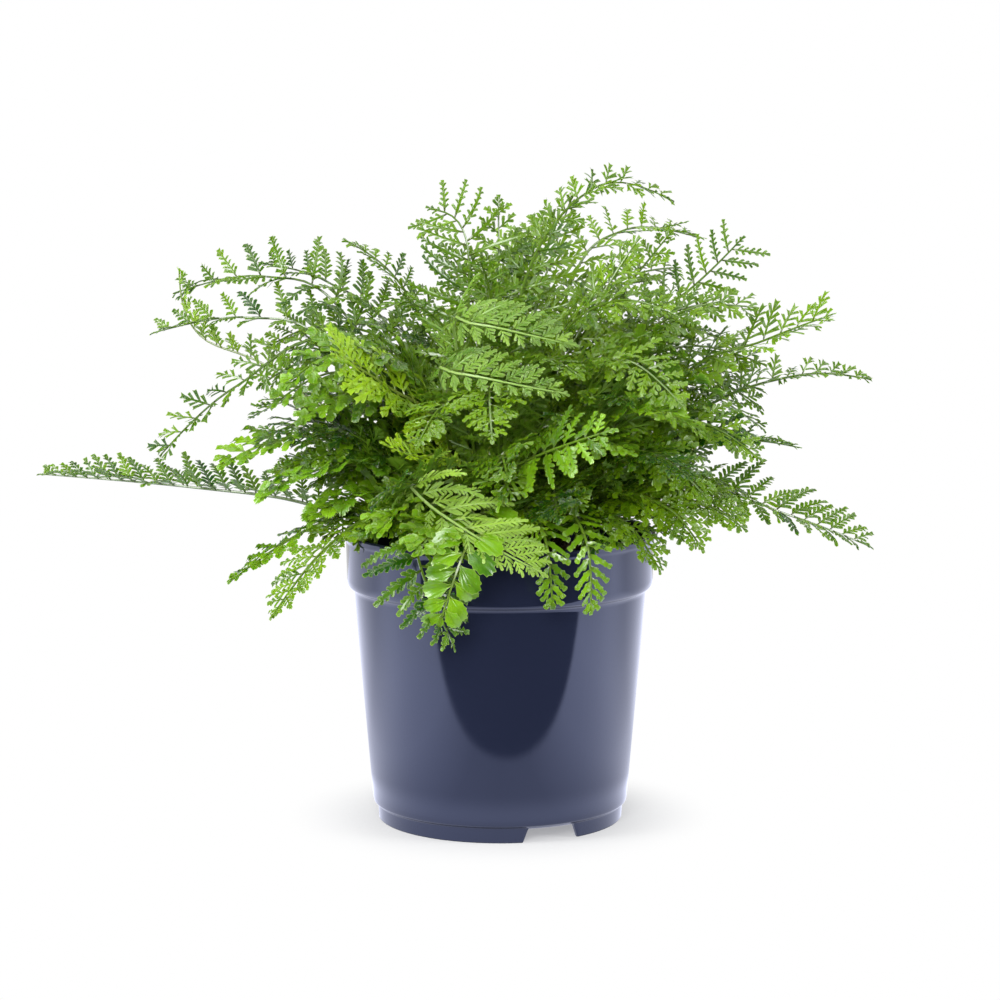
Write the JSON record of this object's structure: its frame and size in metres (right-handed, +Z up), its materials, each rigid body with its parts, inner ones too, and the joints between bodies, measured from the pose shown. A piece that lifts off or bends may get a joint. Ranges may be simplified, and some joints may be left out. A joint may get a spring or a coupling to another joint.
{
  "type": "potted fern",
  "caption": "Bushy potted fern: arching feathery fronds on a scaly crown, in peat, in a glossy round tapered nursery pot.",
  "frame": {"origin": "under the middle of the whole plant's box, on the surface that the pot stands on", "axes": "+Z up along the pot's axis; +X to the right in the picture, along the plant's widest spread; +Y away from the viewer"},
  "size_m": [0.3727, 0.2424, 0.2908],
  "materials": {
    "pot_plastic": "gloss",
    "peat": "matte",
    "crown_scale": "matte",
    "leaf_fine": "satin",
    "leaf_young": "satin",
    "leaf_medium": "satin",
    "leaf_fans": "satin"
  },
  "bodies": {
    "root": {"pot": "pot_plastic", "soil": "peat", "crown": "crown_scale", "frond_outer_left": "leaf_fine", "frond_outer_left_front": "leaf_fans", "frond_outer_front_left": "leaf_fine", "frond_outer_hang_dark": "leaf_medium", "frond_outer_hang_fans": "leaf_fans", "frond_outer_hang_small": "leaf_fine", "frond_outer_hang_slim": "leaf_fine", "frond_outer_rim_right": "leaf_fine", "frond_outer_right_front": "leaf_medium", "frond_outer_right": "leaf_fine", "frond_outer_back_a": "leaf_medium", "frond_outer_back_b": "leaf_fine", "frond_outer_back_c": "leaf_fine", "frond_outer_back_d": "leaf_fans", "frond_low_left_curl": "leaf_young", "frond_low_left_fans": "leaf_fans", "frond_low_left_fans_b": "leaf_fans", "frond_low_front_young": "leaf_young", "frond_low_front_right": "leaf_medium", "frond_low_right_front": "leaf_fine", "frond_low_right_droop": "leaf_medium", "frond_low_right_long": "leaf_fine", "frond_low_right_under": "leaf_fine", "frond_low_back_a": "leaf_fine", "frond_low_back_b": "leaf_medium", "frond_low_back_c": "leaf_fine", "frond_low_back_d": "leaf_medium", "frond_low_back_e": "leaf_fine", "frond_middle_left_droop": "leaf_fine", "frond_middle_left": "leaf_fine", "frond_middle_left_front": "leaf_medium", "frond_middle_young": "leaf_young", "frond_middle_front_left": "leaf_medium", "frond_middle_front": "leaf_medium", "frond_middle_front_pale": "leaf_medium", "frond_middle_right_front": "leaf_fine", "frond_middle_right": "leaf_fine", "frond_middle_back_a": "leaf_fine", "frond_middle_back_b": "leaf_fine", "frond_middle_back_c": "leaf_medium", "frond_middle_back_d": "leaf_fine", "frond_high_left": "leaf_fine", "frond_high_left_back": "leaf_fine", "frond_high_front_left": "leaf_fine", "frond_high_front": "leaf_medium", "frond_high_right_front": "leaf_fine", "frond_high_right": "leaf_fine", "frond_high_right_mid": "leaf_fine", "frond_high_right_back": "leaf_fine", "frond_high_back": "leaf_young", "frond_top_left": "leaf_fine", "frond_top_back": "leaf_fine", "frond_top_arch": "leaf_young", "frond_top_front": "leaf_fine"}
  },
  "joints": []
}
